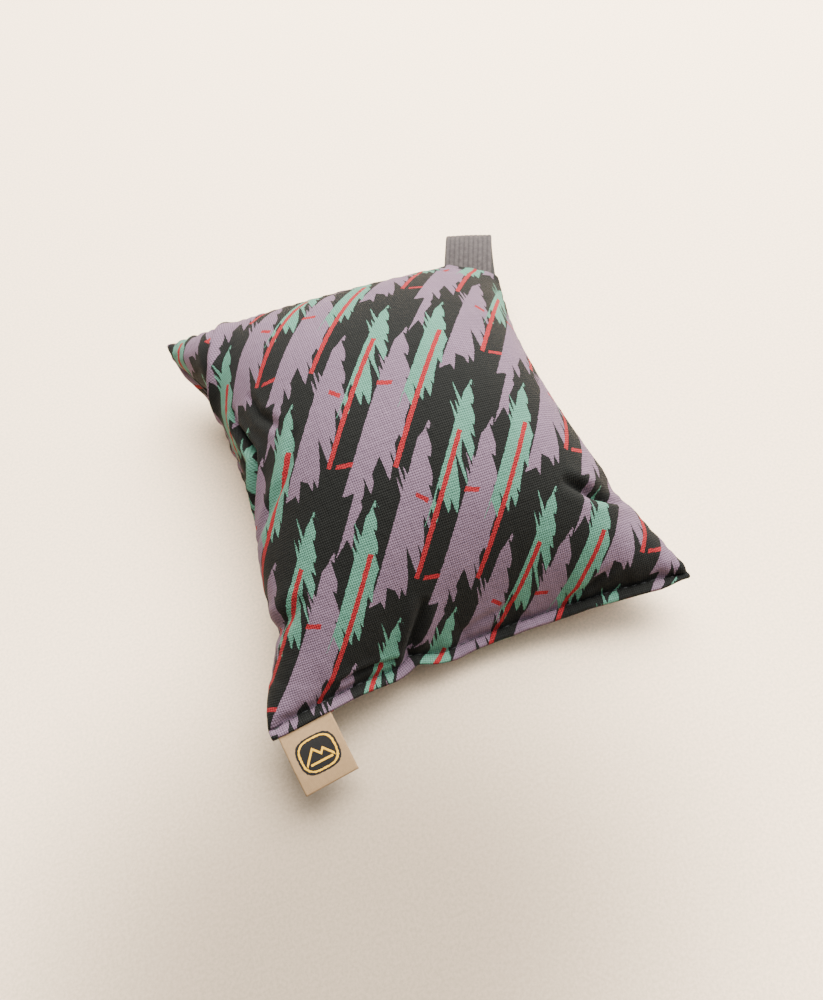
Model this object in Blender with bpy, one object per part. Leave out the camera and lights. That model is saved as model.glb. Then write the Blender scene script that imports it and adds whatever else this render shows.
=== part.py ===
"""Small filled canvas sack, sewn shut, with a webbing hang loop at one corner
and a folded side label beside the opposite corner of the closing seam.

Metres, +Z up.  X runs along the closing seam from the label end to the plain
end, Y from the closing seam to the far seam, and the sack lies on its back
panel.  The origin is the middle of the bounding box, on the resting plane.

Every layer (panels, pouch plies, filling) is the same pillow: a middle surface
stretched between the four sewn edges, and a crown raised over it.
"""

import math

import bmesh
import bpy
import numpy as np
from mathutils import Vector

for old in list(bpy.data.objects):
    bpy.data.objects.remove(old, do_unlink=True)

MM = 0.001

# ---------------------------------------------------------------- dimensions
# Corners of the sewn outline (x, y, height of the seam above the floor), mm,
# measured from the label corner of the closing seam.
CORNER_LABEL = (0.0, 0.0, 15.0)
CORNER_PLAIN = (131.7, 0.0, 15.3)
CORNER_EAR = (0.5, 143.8, 23.5)
LOOP_EDGE_LEFT = (109.8, 143.9, 20.0)     # the corner is sewn across, and the
LOOP_EDGE_RIGHT = (126.2, 131.6, 20.0)    # loop fills that edge
# How far the middle of each edge is drawn in, and the seam's height there.
PULL_CLOSING, MID_CLOSING = 6.5, 7.4
PULL_RIGHT, MID_RIGHT = 13.2, 22.0
PULL_FAR, MID_FAR = 5.5, 27.0
PULL_LEFT, MID_LEFT = 14.5, 19.0

CROWN_HEIGHT = 57.0        # top of the filled sack
FLOOR_DIP = 15.5           # how far the crown below would reach past the floor
CROWN_POWER = 2.3          # crown profile: (1 - |u|^power)^steepness
CROWN_STEEP_TOP = 0.43
CROWN_STEEP_BOTTOM = 0.43

CLOTH = 0.8                # printed canvas
PLY = 0.3                  # pouch cloth
SEAM_HALF_GAP = 0.3        # between a panel's inside and the seam's mid plane
HEM_WIDTH = 3.4            # flat band outside the closing topstitch

WEB_WIDTH = 19.0           # 3/4 in ribbed webbing
WEB_THICK = 1.2
WEB_FREE = 21.0            # loop's reach past the fabric edge, at its middle
WEB_LEAN = 15.5            # degrees, the strip leaves its seam aslant
WEB_TAIL = 6.5             # sewn in
LOOP_OPEN = 5.6            # clear height inside the loop

LABEL_WIDTH = 16.0
LABEL_THICK = 0.7          # ribbon folded double
LABEL_FREE = 16.0
LABEL_START = 1.0          # from the corner, along the closing seam
LABEL_TAIL = 6.0
LABEL_DROOP = 10.0         # degrees below level

THREAD = 0.5               # topstitching thread
PIVOT_GAP = 0.3            # between a sewn-in tail and the part that flexes

NU, NV = 18, 20            # facets across a panel


# ------------------------------------------------------------ sewn outline
def edge(t, a, b, pull, mid, inward, power=1.0):
    """Point on one sewn edge: drawn in and sagging towards its middle."""
    s = math.sin(math.pi * t)
    p = (1 - t) * np.array(a) + t * np.array(b)
    p[:2] += pull * s * np.array(inward)
    p[2] += (mid - 0.5 * (a[2] + b[2])) * s ** power
    return p


def polyline(points, n):
    """n + 1 points spaced evenly along a run of points."""
    points = np.array(points)
    d = np.r_[0, np.cumsum(np.linalg.norm(np.diff(points, axis=0), axis=1))]
    t = np.linspace(0, d[-1], n + 1)
    return np.stack([np.interp(t, d, points[:, k]) for k in range(3)], -1)


def outline(nu, nv):
    """The four sides of the seam, each as evenly spaced points."""
    fine = np.linspace(0, 1, 81)
    meet = np.array(LOOP_EDGE_LEFT) * 0.4 + np.array(LOOP_EDGE_RIGHT) * 0.6
    near = [edge(t, CORNER_LABEL, CORNER_PLAIN, PULL_CLOSING, MID_CLOSING, (0, 1), 2) for t in fine]
    left = [edge(t, CORNER_LABEL, CORNER_EAR, PULL_LEFT, MID_LEFT, (1, 0)) for t in fine]
    far = [edge(t, CORNER_EAR, LOOP_EDGE_LEFT, PULL_FAR, MID_FAR, (0, -1)) for t in fine] + [meet]
    right = [edge(t, CORNER_PLAIN, LOOP_EDGE_RIGHT, PULL_RIGHT, MID_RIGHT, (-1, 0)) for t in fine] + [meet]
    return polyline(near, nu), polyline(far, nu), polyline(left, nv), polyline(right, nv)


SEAMS = outline(400, 400)


def across(n):
    """n + 1 stations from -1 to 1, closer together towards the seams."""
    return np.sin(np.linspace(-0.5, 0.5, n + 1) * math.pi)


def middle_surface(nu, nv, rim):
    """Surface stretched between the four seams (Coons patch), its edge `rim`
    inside them, (nu+1, nv+1, 3)."""
    inset = rim / np.array([CORNER_PLAIN[0], CORNER_EAR[1]])
    u = 0.5 + (0.5 - inset[0]) * across(nu)
    v = 0.5 + (0.5 - inset[1]) * across(nv)
    even = np.linspace(0, 1, 401)

    def at(side, t):
        return np.stack([np.interp(t, even, side[:, k]) for k in range(3)], -1)

    near, far, left, right = at(SEAMS[0], u), at(SEAMS[1], u), at(SEAMS[2], v), at(SEAMS[3], v)
    c = [SEAMS[0][0], SEAMS[0][-1], SEAMS[1][0], SEAMS[1][-1]]
    u, v = u[:, None, None], v[None, :, None]
    return ((1 - v) * near[:, None] + v * far[:, None] + (1 - u) * left[None] + u * right[None]
            - (1 - u) * (1 - v) * c[0] - u * (1 - v) * c[1] - (1 - u) * v * c[2] - u * v * c[3])


def smooth(x):
    x = np.clip(x, 0, 1)
    return x * x * (3 - 2 * x)


def crown(nu, nv, steep):
    u = np.abs(across(nu))[:, None] ** CROWN_POWER
    v = np.abs(across(nv))[None, :] ** CROWN_POWER
    return np.clip((1 - u) * (1 - v), 0, 1) ** steep


def near_segment(points, a, b):
    """Plan distance from each point to the segment a-b."""
    a, b = np.array(a[:2], float), np.array(b[:2], float)
    d = b - a
    t = np.clip(((points[..., :2] - a) @ d) / (d @ d), 0, 1)
    return np.linalg.norm(points[..., :2] - (a + t[..., None] * d), axis=-1)


def packing(points):
    """Extra half gap where the webbing and the label are sewn between the panels."""
    web = (WEB_THICK - 0.1) * smooth((15 - near_segment(points, LOOP_EDGE_LEFT, LOOP_EDGE_RIGHT)) / 5)
    a = (LABEL_START, 0.5)
    b = (LABEL_START + LABEL_WIDTH, 2.0)
    return np.maximum(web, (0.5 * LABEL_THICK + 0.08) * smooth((14 - near_segment(points, a, b)) / 5))


def frame_at(a, b, out_of):
    """Unit axes of a hinge line a-b: along it, outwards in plan, and up."""
    along = np.array(b, float) - np.array(a, float)
    along /= np.linalg.norm(along)
    out = np.cross((0, 0, 1), along)
    out /= np.linalg.norm(out)
    if out @ np.array(out_of) < 0:
        out = -out
    up = np.cross(along, out)
    if up[2] < 0:
        up = -up
    return along, out, up


def clear_of_tails(m):
    """Draws an inner layer's corner back from the webbing sewn in there."""
    a, b = np.array(LOOP_EDGE_LEFT), np.array(LOOP_EDGE_RIGHT)
    along, out, _ = frame_at(a, b, (0.3, 1.0, 0))
    rel = m - 0.5 * (a + b)
    inside, aside = -(rel @ out), np.abs(rel @ along)
    shift = 7.0 * smooth((24 - inside) / 18) * smooth((24 - aside) / 10)
    m[..., :2] -= shift[..., None] * out[:2]
    return m


def layer(depth, rim, half_gap, side, nu, nv):
    """One skin of the pillow: `depth` under the outside, its edge `rim` inside
    the seam, `half_gap` from the mid plane at its edge.  side +1 top, -1 floor."""
    m = middle_surface(nu, nv, rim)
    gap = half_gap + packing(m)
    if rim > 2:
        m = clear_of_tails(m)
    if side > 0:
        c = crown(nu, nv, CROWN_STEEP_TOP)
        m[..., 2] += gap + (CROWN_HEIGHT - depth - m[..., 2] - gap) * c
    else:
        c = crown(nu, nv, CROWN_STEEP_BOTTOM)
        low = m[..., 2] - gap - (m[..., 2] - gap + FLOOR_DIP - depth) * c
        m[..., 2] = np.maximum(low, depth)
    return m


# ---------------------------------------------------------------- mesh maker
def grid_solid(name, upper, lower, colour, roughness):
    """A closed body between two grids of points that share their layout."""
    bm = bmesh.new()
    rows, cols = upper.shape[:2]
    up = [[bm.verts.new(upper[i, j] * MM) for j in range(cols)] for i in range(rows)]
    lo = [[bm.verts.new(lower[i, j] * MM) for j in range(cols)] for i in range(rows)]
    for i in range(rows - 1):
        for j in range(cols - 1):
            a, b, c, d = up[i][j], up[i + 1][j], up[i + 1][j + 1], up[i][j + 1]
            e, f, g, h = lo[i][j], lo[i + 1][j], lo[i + 1][j + 1], lo[i][j + 1]
            if (i + j) % 2:
                bm.faces.new((a, b, c)); bm.faces.new((a, c, d))
                bm.faces.new((e, g, f)); bm.faces.new((e, h, g))
            else:
                bm.faces.new((a, b, d)); bm.faces.new((b, c, d))
                bm.faces.new((e, h, f)); bm.faces.new((f, h, g))
    ring = ([(i, 0) for i in range(rows)] + [(rows - 1, j) for j in range(1, cols)]
            + [(i, cols - 1) for i in range(rows - 2, -1, -1)] + [(0, j) for j in range(cols - 2, 0, -1)])
    for (i, j), (k, l) in zip(ring, ring[1:] + ring[:1]):
        bm.faces.new((up[i][j], lo[i][j], lo[k][l], up[k][l]))
    return finish(bm, name, colour, roughness)


def finish(bm, name, colour, roughness, origin=None, metallic=0.0):
    """Turns a bmesh (world metres) into a named object, its origin on `origin`."""
    if origin is not None:
        bmesh.ops.translate(bm, vec=-Vector(origin), verts=bm.verts)
    bmesh.ops.recalc_face_normals(bm, faces=bm.faces)
    mesh = bpy.data.meshes.new(name)
    bm.to_mesh(mesh)
    bm.free()
    obj = bpy.data.objects.new(name, mesh)
    bpy.context.scene.collection.objects.link(obj)
    if origin is not None:
        obj.location = origin
    mesh.shade_smooth()
    mesh.set_sharp_from_angle(angle=math.radians(40))
    mat = bpy.data.materials.new(name + "_mat")
    mat.use_nodes = True
    bsdf = mat.node_tree.nodes["Principled BSDF"]
    bsdf.inputs["Base Color"].default_value = (*colour, 1)
    bsdf.inputs["Roughness"].default_value = roughness
    bsdf.inputs["Metallic"].default_value = metallic
    mesh.materials.append(mat)
    return obj


def thread(name, points, diameter, colour):
    """A sewing thread along a smooth line."""
    data = bpy.data.curves.new(name, "CURVE")
    data.dimensions = "3D"
    data.bevel_depth = 0.5 * diameter * MM
    data.bevel_resolution = 2
    data.use_fill_caps = True
    spline = data.splines.new("POLY")
    spline.points.add(len(points) - 1)
    for p, q in zip(spline.points, points):
        p.co = (*(np.array(q) * MM), 1)
    obj = bpy.data.objects.new(name, data)
    bpy.context.scene.collection.objects.link(obj)
    mat = bpy.data.materials.new(name + "_mat")
    mat.use_nodes = True
    bsdf = mat.node_tree.nodes["Principled BSDF"]
    bsdf.inputs["Base Color"].default_value = (*colour, 1)
    bsdf.inputs["Roughness"].default_value = 0.6
    data.materials.append(mat)
    return obj


def hem_row(side, gap):
    """The closing seam moved out to the edge of the hem band, at a set half gap."""
    seam = middle_surface(NU, NV, 0.0)[:, 0]
    out = seam - np.array([0, HEM_WIDTH, 0])
    out[:, 2] += side * (gap + packing(seam))
    return out


def panel(name, side, colour):
    outer = layer(0.0, 0.0, SEAM_HALF_GAP + CLOTH, side, NU, NV)
    inner = layer(CLOTH, CLOTH, SEAM_HALF_GAP, side, NU, NV)
    outer = np.concatenate([hem_row(side, SEAM_HALF_GAP + CLOTH)[:, None], outer], 1)
    inner = np.concatenate([hem_row(side, SEAM_HALF_GAP)[:, None], inner], 1)
    if side > 0:
        return grid_solid(name, outer, inner, colour, 0.85)
    return grid_solid(name, inner, outer, colour, 0.85)


# ---------------------------------------------------------- loop and label
def extruded(profile, holes, origin, axes, width, name, colour, roughness, at=None, lean=0.0):
    """Outline in (out, up), with an optional matching inner outline, swept along
    the hinge line by `width`, centred on `origin`.  With a lean the strip leaves
    the hinge line aslant, and its far edge stays square to its own sides."""
    along, out, up = axes
    k = math.radians(lean)
    strip = out * math.cos(k) - along * math.sin(k)
    reach = max(p[0] for p in profile)
    bm = bmesh.new()

    def ring(points, s):
        s = s / math.cos(k)
        grow = 1 + s * math.sin(k) / reach
        return [bm.verts.new((origin + along * s + strip * (p[0] * grow if p[0] > 0 else p[0] / math.cos(k))
                              + up * p[1]) * MM) for p in points]

    ends = [(ring(profile, s), ring(holes, s) if holes is not None else None) for s in (-width / 2, width / 2)]
    n = len(profile)
    (o0, h0), (o1, h1) = ends
    for k in range(n):
        m = (k + 1) % n
        bm.faces.new((o0[k], o0[m], o1[m], o1[k]))
        if holes is not None:
            bm.faces.new((h0[m], h0[k], h1[k], h1[m]))
            bm.faces.new((o0[m], o0[k], h0[k], h0[m]))
            bm.faces.new((o1[k], o1[m], h1[m], h1[k]))
    if holes is None:
        bm.faces.new(o0[::-1])
        bm.faces.new(o1)
    return finish(bm, name, colour, roughness, origin=at)


def teardrop(length, opening, thick, n):
    """Outer and inner outline of a flat strip bent back on itself: two plies
    that lie together at the base and open to `opening` before the bend."""
    def centre(a):
        s = np.sin(a) * np.abs(np.sin(a / 2))
        w = np.cos(a / 2) ** 2 * np.sign(np.sin(a) + 1e-12)
        return np.stack([(length - 0.5 * thick) * (1 - np.cos(a)) / 2,
                         0.5 * thick * w + (0.5 * opening + 0.5 * thick) / 0.77 * s], -1)

    a = np.linspace(0.16, 2 * np.pi - 0.16, n)
    c = centre(a)
    d = centre(a + 1e-4) - centre(a - 1e-4)
    d /= np.linalg.norm(d, axis=1)[:, None]
    normal = np.stack([-d[:, 1], d[:, 0]], -1)
    outer = c + normal * thick * 0.5
    inner = c - normal * thick * 0.5
    # rounded nose of the two plies at the base, centred on the hinge line
    first = outer[0]
    nose = [(-thick * math.sin(b), thick * math.cos(b)) for b in np.linspace(0.15, math.pi - 0.15, 7)]
    full = np.concatenate([outer, np.array(nose)[::-1]], 0)
    # the inside starts where the plies have parted
    keep = np.abs(inner[:, 1]) > 0.12
    keep &= inner[:, 0] > 0
    start = inner[keep][0]
    tip = np.array([start[0] - 0.4, 0.0])
    inside = inner.copy()
    for k in range(len(inside)):
        if not keep[k]:
            inside[k] = tip
    return first, full, inside, keep


def loop_outlines(n=26):
    """Matching outer and inner outlines of the hang loop."""
    length = WEB_FREE - WEB_THICK - PIVOT_GAP
    t = WEB_THICK
    _, outer, inside, keep = teardrop(length, LOOP_OPEN, t, n)
    # resample both to the same count by their own length, both starting at the base
    def even(points, count):
        p = np.concatenate([points, points[:1]], 0)
        d = np.r_[0, np.cumsum(np.linalg.norm(np.diff(p, axis=0), axis=1))]
        q = np.linspace(0, d[-1], count + 1)[:-1]
        return np.stack([np.interp(q, d, p[:, k]) for k in (0, 1)], -1)
    base = int(np.argmin(outer[:, 0]))
    outer = np.roll(outer, -base, 0)
    inner = inside[keep]
    inner = np.concatenate([[[inner[0][0] - 0.4, 0.0]], inner], 0)
    return even(outer, 44), even(inner, 44)


def label_outline():
    """Side view of the folded label, starting at its rounded sewn end."""
    r = 0.5 * LABEL_THICK
    length = LABEL_FREE - r - PIVOT_GAP
    top = [(x, r) for x in np.linspace(0, length, 8)]
    fold = [(length + 0.5 * math.sin(a), r * math.cos(a)) for a in np.linspace(0.4, math.pi - 0.4, 5)]
    bottom = [(x, -r) for x in np.linspace(length, 0, 8)]
    nose = [(-r * math.sin(a), -r * math.cos(a)) for a in np.linspace(0.4, math.pi - 0.4, 4)]
    points = np.array(top + fold + bottom + nose)
    # a slight downward curl towards the fold
    points[:, 1] -= 0.004 * np.clip(points[:, 0], 0, None) ** 2
    return points[::-1]


# ------------------------------------------------------------------ assembly
front_panel = panel("front_panel", 1, (0.055, 0.06, 0.058))
back_panel = panel("back_panel", -1, (0.055, 0.06, 0.058))

P_RIM = 8.0
pouch_n = (NU // 2, NV // 2)


def pouch_ply(name, side):
    outer = layer(CLOTH + 0.6, P_RIM, SEAM_HALF_GAP + PLY, side, *pouch_n)
    inner = layer(CLOTH + 0.6 + PLY, P_RIM + PLY, SEAM_HALF_GAP, side, *pouch_n)
    pair = (outer, inner) if side > 0 else (inner, outer)
    return grid_solid(name, *pair, (0.75, 0.74, 0.70), 0.9)


pouch_front = pouch_ply("pouch_front", 1)
pouch_back = pouch_ply("pouch_back", -1)
fill_depth = CLOTH + 0.6 + PLY + 0.5
filling = grid_solid(
    "filling",
    layer(fill_depth, P_RIM + 2.0, 0.05, 1, *pouch_n),
    layer(fill_depth, P_RIM + 2.0, 0.05, -1, *pouch_n),
    (0.80, 0.78, 0.72), 0.95,
)

# hang loop: tails between the panels, and the free part past the hinge line
web_a, web_b = np.array(LOOP_EDGE_LEFT), np.array(LOOP_EDGE_RIGHT)
web_axes = frame_at(web_a, web_b, (0.3, 1.0, 0))
web_mid = 0.5 * (web_a + web_b)
web_pivot = web_mid + web_axes[1] * (WEB_THICK + PIVOT_GAP)
loop_outer, loop_inner = loop_outlines()
hang_loop = extruded(loop_outer, loop_inner, web_pivot, web_axes, WEB_WIDTH, "hang_loop",
                     (0.34, 0.31, 0.30), 0.8, at=web_pivot * MM, lean=WEB_LEAN)
tail = [(0.0, WEB_THICK - 0.1), (-WEB_TAIL, WEB_THICK - 0.1), (-WEB_TAIL, -WEB_THICK + 0.1), (0.0, -WEB_THICK + 0.1)]
hang_loop_tails = extruded(np.array(tail), None, web_mid, web_axes, WEB_WIDTH, "hang_loop_tails",
                           (0.34, 0.31, 0.30), 0.8, lean=WEB_LEAN)

# side label: sewn-in tails and the free fold
label_a, label_b = (np.array([np.interp(x, SEAMS[0][:, 0], SEAMS[0][:, k]) for k in range(3)])
                    for x in (LABEL_START, LABEL_START + LABEL_WIDTH))
label_axes = frame_at(label_a, label_b, (0, -1, 0))
hem_edge = 0.5 * (label_a + label_b) + label_axes[1] * HEM_WIDTH
label_pivot = hem_edge + label_axes[1] * (0.5 * LABEL_THICK + PIVOT_GAP)
droop = math.radians(LABEL_DROOP)
free_axes = (label_axes[0],
             label_axes[1] * math.cos(droop) - label_axes[2] * math.sin(droop),
             label_axes[2] * math.cos(droop) + label_axes[1] * math.sin(droop))
side_label = extruded(label_outline(), None, label_pivot, free_axes, LABEL_WIDTH, "side_label",
                      (0.55, 0.47, 0.36), 0.8, at=label_pivot * MM)
half = 0.5 * LABEL_THICK
label_tail = [(0.0, half), (-LABEL_TAIL, half), (-LABEL_TAIL, -half), (0.0, -half)]
side_label_tails = extruded(np.array(label_tail), None, hem_edge, label_axes, LABEL_WIDTH - 0.2,
                            "side_label_tails", (0.55, 0.47, 0.36), 0.8)

# closing topstitch: needle thread above the hem, bobbin thread below it
seam = outline(28, 28)[0][1:-1]
inside_hem = seam + np.array([0, -1.1, 0])
lift = (SEAM_HALF_GAP + CLOTH + 0.32 + 0.5 * THREAD) + packing(seam)
needle = inside_hem.copy(); needle[:, 2] += lift
bobbin = inside_hem.copy(); bobbin[:, 2] -= lift
thread("closing_needle_thread", needle, THREAD, (0.03, 0.03, 0.03))
thread("closing_bobbin_thread", bobbin, THREAD, (0.03, 0.03, 0.03))

# thread of the three turned seams, inside the fold, passing over the webbing tails
track = middle_surface(28, 28, 2.4)
run = np.concatenate([track[0, 3:], track[1:, -1], track[-1, ::-1][1:-2]], 0)
over = smooth((13 - near_segment(run, LOOP_EDGE_LEFT, LOOP_EDGE_RIGHT)) / 6)
run[:, 2] += (WEB_THICK + 0.35 + 0.5 * THREAD) * over
run[:, :2] -= 2.5 * over[:, None] * frame_at(LOOP_EDGE_LEFT, LOOP_EDGE_RIGHT, (0.3, 1.0, 0))[1][:2]
thread("turned_seam_thread", run, THREAD, (0.03, 0.03, 0.03))

# the webbing's own tack, across both tails under the front panel
tack_at = web_mid - web_axes[1] * 5.5
tack = [tack_at + web_axes[0] * s + web_axes[2] * (WEB_THICK + 0.22 + 0.5 * THREAD)
        for s in np.linspace(-8, 8, 9)]
thread("loop_tack_thread", tack, THREAD, (0.03, 0.03, 0.03))

# ------------------------------------------- origin at the bottom of the box
bpy.context.view_layer.update()
graph = bpy.context.evaluated_depsgraph_get()
low, high = np.full(3, 1e9), np.full(3, -1e9)
for obj in bpy.data.objects:
    ev = obj.evaluated_get(graph)
    mesh = ev.to_mesh()
    co = np.array([ev.matrix_world @ v.co for v in mesh.vertices])
    low, high = np.minimum(low, co.min(0)), np.maximum(high, co.max(0))
    ev.to_mesh_clear()
shift = Vector((-(low[0] + high[0]) / 2, -(low[1] + high[1]) / 2, 0))
for obj in bpy.data.objects:
    obj.location += shift
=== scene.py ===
import math

import bpy
import numpy as np
from mathutils import Matrix, Vector


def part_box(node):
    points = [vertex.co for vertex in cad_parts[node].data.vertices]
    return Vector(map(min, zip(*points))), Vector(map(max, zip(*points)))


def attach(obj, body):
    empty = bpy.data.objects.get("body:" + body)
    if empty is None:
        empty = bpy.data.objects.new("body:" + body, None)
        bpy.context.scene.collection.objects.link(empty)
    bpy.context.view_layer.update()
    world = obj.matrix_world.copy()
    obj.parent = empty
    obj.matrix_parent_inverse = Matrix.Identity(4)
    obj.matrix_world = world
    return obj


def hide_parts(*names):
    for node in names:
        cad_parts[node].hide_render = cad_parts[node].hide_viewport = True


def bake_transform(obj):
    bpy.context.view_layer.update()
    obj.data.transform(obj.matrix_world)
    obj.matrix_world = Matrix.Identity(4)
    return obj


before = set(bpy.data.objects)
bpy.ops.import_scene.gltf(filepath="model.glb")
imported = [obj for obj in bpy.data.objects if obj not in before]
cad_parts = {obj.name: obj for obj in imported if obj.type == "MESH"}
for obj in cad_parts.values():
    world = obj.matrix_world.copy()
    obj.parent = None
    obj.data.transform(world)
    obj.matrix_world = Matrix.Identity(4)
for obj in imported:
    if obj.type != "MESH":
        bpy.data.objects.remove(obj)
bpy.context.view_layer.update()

MM = 0.001

# ------------------------------------------------------------------ the frame
# The sewn outline's own coordinates (mm): x along the closing seam from the
# label corner, y towards the far seam, z above the floor.
P_LABEL = (0.0, 0.0, 15.0)
P_PLAIN = (131.7, 0.0, 15.3)
P_EAR = (0.5, 143.8, 23.5)
P_LOOP_L = (109.8, 143.9, 20.0)
P_LOOP_R = (126.2, 131.6, 20.0)
_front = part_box("front_panel")
SHIFT = np.array([_front[0][0] * 1000 - P_LABEL[0], _front[1][1] * 1000 - P_EAR[1], 0.0])

HEM = 3.4                      # flat band outside the closing topstitch
FLAT_W, FLAT_L = 133.5, 147.5  # each panel's sewn size, flat
CUT_X, CUT_Y = 16.4, 12.3      # legs of the corner cut that holds the loop
FILL_ML = 569.15
WEB_W, WEB_T = 19.0, 1.15
LEAN = math.radians(15.5)
rng = np.random.default_rng(7)


def smooth(x):
    x = np.clip(x, 0, 1)
    return x * x * (3 - 2 * x)


# --------------------------------------------------- cloth simulation of the sack
# Two sheets of canvas cut flat, sewn together at their edges and filled: a
# position-based cloth solver with stretch, shear and bending, the filling's
# volume, gravity and the floor.  The seams are led to the frame's seam lines.
def cut_grid(nx, ny, hr):
    """Flat cut of a panel (nx+1, ny+1, 2); the first hr rows are the hem band."""
    w, l = FLAT_W, FLAT_L
    def path(pts, t):
        pts = np.array(pts, float)
        d = np.r_[0, np.cumsum(np.linalg.norm(np.diff(pts, axis=0), axis=1))]
        return np.stack([np.interp(t * d[-1], d, pts[:, k]) for k in (0, 1)], -1)
    u, v = np.linspace(0, 1, nx + 1), np.linspace(0, 1, ny - hr + 1)
    meet = (w - CUT_X * 0.35, l - CUT_Y * 0.65)
    near, far = path([(0, 0), (w, 0)], u), path([(0, l), (w - CUT_X, l), meet], u)
    left, right = path([(0, 0), (0, l)], v), path([(w, 0), (w, l - CUT_Y), meet], v)
    U, V = (a[..., None] for a in np.meshgrid(u, v, indexing="ij"))
    P = ((1 - V) * near[:, None] + V * far[:, None] + (1 - U) * left[None] + U * right[None]
         - (1 - U) * (1 - V) * near[0] - U * (1 - V) * near[-1] - (1 - U) * V * far[0] - U * V * far[-1])
    H = np.stack([np.stack([near[:, 0], np.full(nx + 1, -HEM * (1 - k / hr))], -1) for k in range(hr)], 1)
    return np.concatenate([H, P], 1)


def seam_side(t, a, b, pull, mid, inward, power=1):
    t = t[:, None]
    a, b = np.array(a, float), np.array(b, float)
    s = np.sin(np.pi * t)
    p = (1 - t) * a + t * b + np.r_[np.array(inward, float) * pull, 0] * s
    p[:, 2:] += (mid - 0.5 * (a[2] + b[2])) * s ** power
    return p


def seam_lines(F, hr):
    """Where the frame puts each seam vertex: [(slice, positions)], closing seam first."""
    w, l = FLAT_W, FLAT_L
    out = []
    f = F[:, hr]
    out.append(((slice(None), hr), seam_side(f[:, 0] / w, P_LABEL, P_PLAIN, 6.5, 7.4, (0, 1), 2)))
    f = F[0, hr:]
    out.append(((0, slice(hr, None)), seam_side(f[:, 1] / l, P_LABEL, P_EAR, 14.5, 19.0, (1, 0))))
    c1, c2 = np.array(P_LOOP_L), np.array(P_LOOP_R)
    f = F[:, -1]
    a = seam_side(np.clip(f[:, 0] / (w - CUT_X), 0, 1), P_EAR, c1, 5.5, 27.0, (0, -1))
    t = np.clip((f[:, 0] - (w - CUT_X)) / CUT_X, 0, 1)[:, None]
    out.append(((slice(None), -1), np.where((f[:, 0] > w - CUT_X + 1e-6)[:, None], c1 + (c2 - c1) * t, a)))
    f = F[-1, hr:]
    a = seam_side(np.clip(f[:, 1] / (l - CUT_Y), 0, 1), P_PLAIN, c2, 13.2, 22.0, (-1, 0))
    t = np.clip((w - f[:, 0]) / CUT_X, 0, 1)[:, None]
    out.append(((-1, slice(hr, None)), np.where((f[:, 0] < w - 1e-6)[:, None], c2 + (c1 - c2) * t, a)))
    return out


def pull(x, y, length, k):
    d = y - x
    n = np.sqrt(np.einsum("ijk,ijk->ij", d, d)) + 1e-9
    f = (k * 0.5 * (n - length) / n)[..., None] * d
    x += f
    y -= f


def push(x, y, length, k):
    d = y - x
    n = np.sqrt(np.einsum("ijk,ijk->ij", d, d)) + 1e-9
    f = (k * 0.5 * np.minimum(n - length, 0) / n)[..., None] * d
    x += f
    y -= f


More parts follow.
